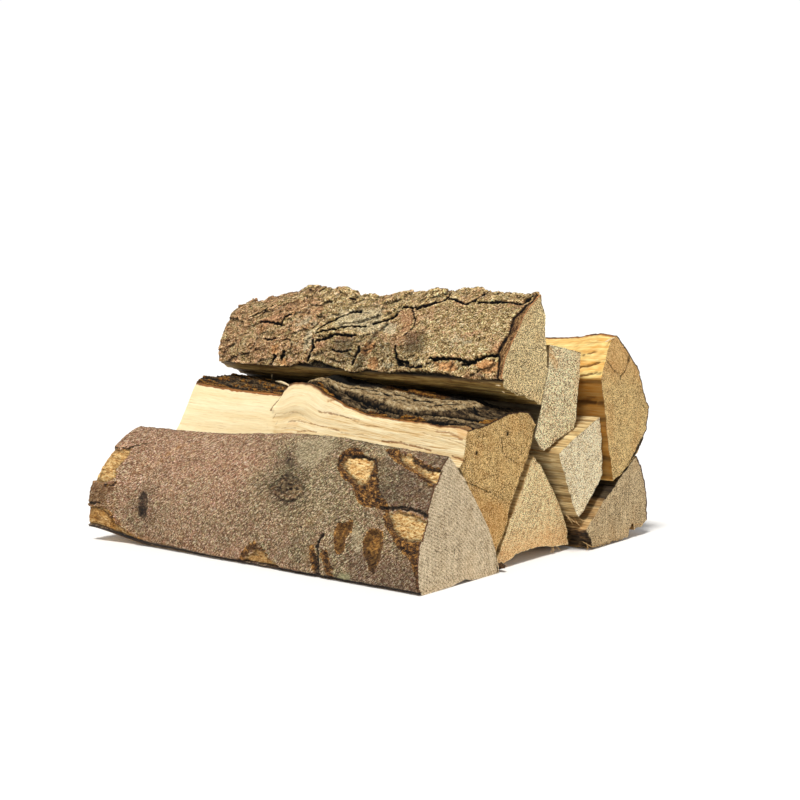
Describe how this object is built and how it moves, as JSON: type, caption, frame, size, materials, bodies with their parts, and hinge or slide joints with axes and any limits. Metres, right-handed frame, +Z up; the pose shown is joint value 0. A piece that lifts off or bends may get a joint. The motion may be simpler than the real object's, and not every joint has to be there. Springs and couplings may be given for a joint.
{
  "type": "bundle of hardwood firewood",
  "caption": "Small stack of short split hardwood logs lying together, with bark on the outer sides, pale split faces and sawn ends.",
  "frame": {"origin": "middle of the pile's bounding box, on the surface it rests on", "axes": "+X along the logs towards the evenly sawn ends, +Y from the smooth-barked front log to the back of the pile, +Z up"},
  "size_m": [0.348, 0.3307, 0.2139],
  "materials": {
    "smooth_bark_wood": "smooth grey-brown bark with patches rubbed down to bare wood",
    "furrowed_bark_wood": "dark furrowed bark with an orange-brown inner layer",
    "flaky_bark_wood": "rough scaly grey-brown bark",
    "sawn_end_wood": "fibrous sawn end grain",
    "pale_end_wood": "coarse pale end grain",
    "golden_split_wood": "fresh split face along the grain"
  },
  "bodies": {
    "root": {"front_log": "smooth_bark_wood", "middle_log": "furrowed_bark_wood", "top_log": "flaky_bark_wood", "low_log": "sawn_end_wood", "upright_log": "pale_end_wood", "diamond_log": "pale_end_wood", "round_log": "golden_split_wood", "torn_log": "sawn_end_wood"}
  },
  "joints": []
}
